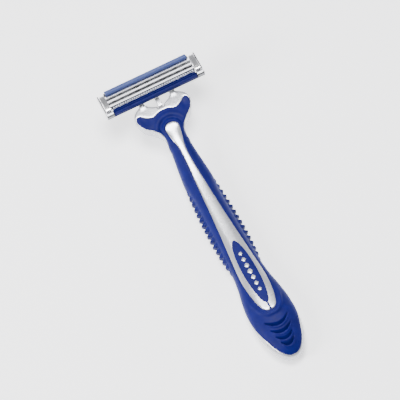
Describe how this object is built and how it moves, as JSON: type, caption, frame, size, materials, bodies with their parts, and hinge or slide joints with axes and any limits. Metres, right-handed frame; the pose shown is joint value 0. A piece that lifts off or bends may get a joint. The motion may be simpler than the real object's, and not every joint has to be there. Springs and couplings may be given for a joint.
{
  "type": "cartridge razor",
  "caption": "Disposable cartridge razor: two-tone handle with rubber grip and finger fins, forked yoke, sprung pivoting head with floating blades, guard and lubricating strip.",
  "frame": {"origin": "middle of the base of the razor's box, on the plane that the flat back of the handle lies on", "axes": "+Y along the handle from the tail to the head, +Z out of the shaving face, +X across the head"},
  "size_m": [0.042, 0.129, 0.0207],
  "materials": {
    "silver_plastic": "injection-moulded pearl silver ABS",
    "frame_plastic": "injection-moulded silver plastic",
    "blue_rubber": "overmoulded blue thermoplastic rubber, satin",
    "navy_rubber": "overmoulded navy thermoplastic rubber",
    "pale_rubber": "pale grey-blue soft fins",
    "lubricating_strip": "extruded water-soluble polymer strip, slate blue",
    "blade_steel": "honed and coated stainless strip",
    "support_steel": "stamped stainless carrier",
    "clip_metal": "rolled aluminium clip"
  },
  "bodies": {
    "handle": {"handle_core": "silver_plastic", "grip_overmould": "blue_rubber", "oval_inset": "blue_rubber", "rear_pad": "blue_rubber"},
    "tongue": {"return_tongue": "silver_plastic"},
    "cartridge": {"cartridge_housing": "frame_plastic", "lubricating_strip": "lubricating_strip", "guard_strip": "navy_rubber", "microfin_strip": "pale_rubber", "retention_clip_left": "clip_metal", "retention_clip_right": "clip_metal"},
    "blade_1": {"blade_edge_1": "blade_steel", "blade_support_1": "support_steel"},
    "blade_2": {"blade_edge_2": "blade_steel", "blade_support_2": "support_steel"},
    "blade_3": {"blade_edge_3": "blade_steel", "blade_support_3": "support_steel"}
  },
  "joints": [
    {"name": "head_pivot", "type": "hinge", "parent": "handle", "child": "cartridge", "pos_m": [0, 0.0564, 0.01571], "axis": [-1, 0, 0], "range_deg": [0, 38], "stiffness_Nm_per_rad": 0.002, "springref_deg": -11.46},
    {"name": "tongue_flex", "type": "hinge", "parent": "handle", "child": "tongue", "pos_m": [0, 0.05111, 0.0146], "axis": [-1, 0, 0], "range_deg": [0, 13]},
    {"name": "blade_1_float", "type": "slide", "parent": "cartridge", "child": "blade_1", "axis": [0, 0.0698, 0.9976], "range_m": [-0.00035, 0], "stiffness_N_per_m": 30, "springref_m": 0.0004},
    {"name": "blade_2_float", "type": "slide", "parent": "cartridge", "child": "blade_2", "axis": [0, 0.0698, 0.9976], "range_m": [-0.00035, 0], "stiffness_N_per_m": 30, "springref_m": 0.0004},
    {"name": "blade_3_float", "type": "slide", "parent": "cartridge", "child": "blade_3", "axis": [0, 0.0698, 0.9976], "range_m": [-0.00035, 0], "stiffness_N_per_m": 30, "springref_m": 0.0004}
  ],
  "couplings": [
    {"joint": "tongue_flex", "follows": "head_pivot", "ratio": 0.324}
  ]
}
